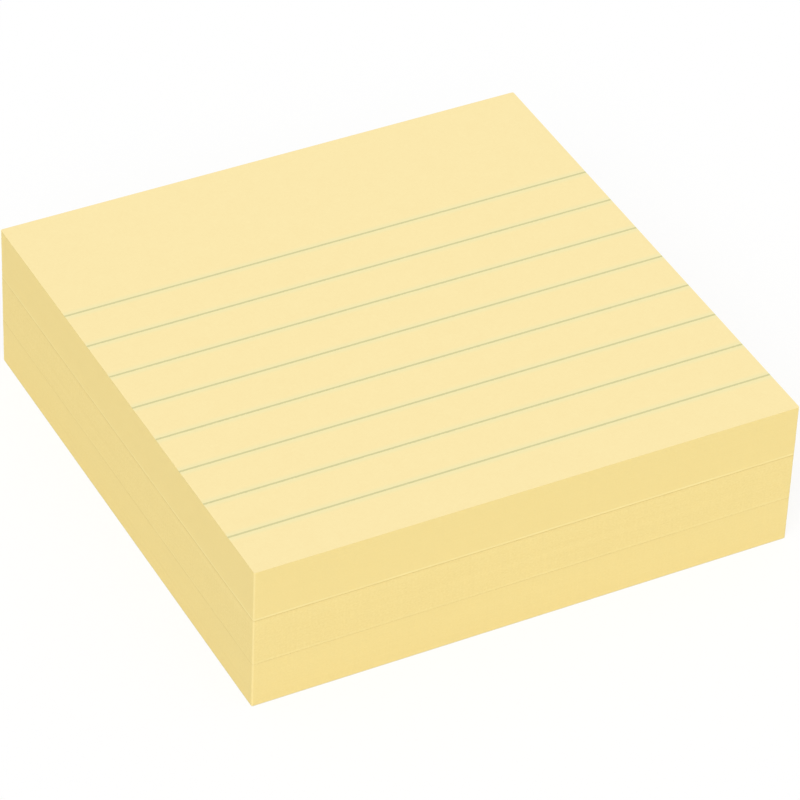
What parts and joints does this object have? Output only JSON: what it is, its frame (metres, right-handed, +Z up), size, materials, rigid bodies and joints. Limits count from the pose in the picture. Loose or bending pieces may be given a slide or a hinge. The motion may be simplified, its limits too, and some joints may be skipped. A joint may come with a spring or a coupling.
{
  "type": "lined sticky note pad",
  "caption": "Thick square pad of yellow ruled sticky notes, stacked in lifts and glued along the header edge over a plain backing sheet.",
  "frame": {"origin": "middle of the underside, on the surface that the pad rests on", "axes": "+X along the ruled lines, +Y towards the glued header edge, +Z up out of the writing face"},
  "size_m": [0.1016, 0.1016, 0.0287],
  "materials": {
    "note_paper": "matte",
    "rule_ink": "matte",
    "adhesive": "satin",
    "backing_paper": "matte"
  },
  "bodies": {
    "root": {"ruled_lines": "rule_ink", "upper_sheets": "note_paper", "upper_adhesive": "adhesive", "middle_sheets": "note_paper", "middle_adhesive": "adhesive", "lower_sheets": "note_paper", "lower_adhesive": "adhesive", "backing_sheet": "backing_paper"}
  },
  "joints": []
}
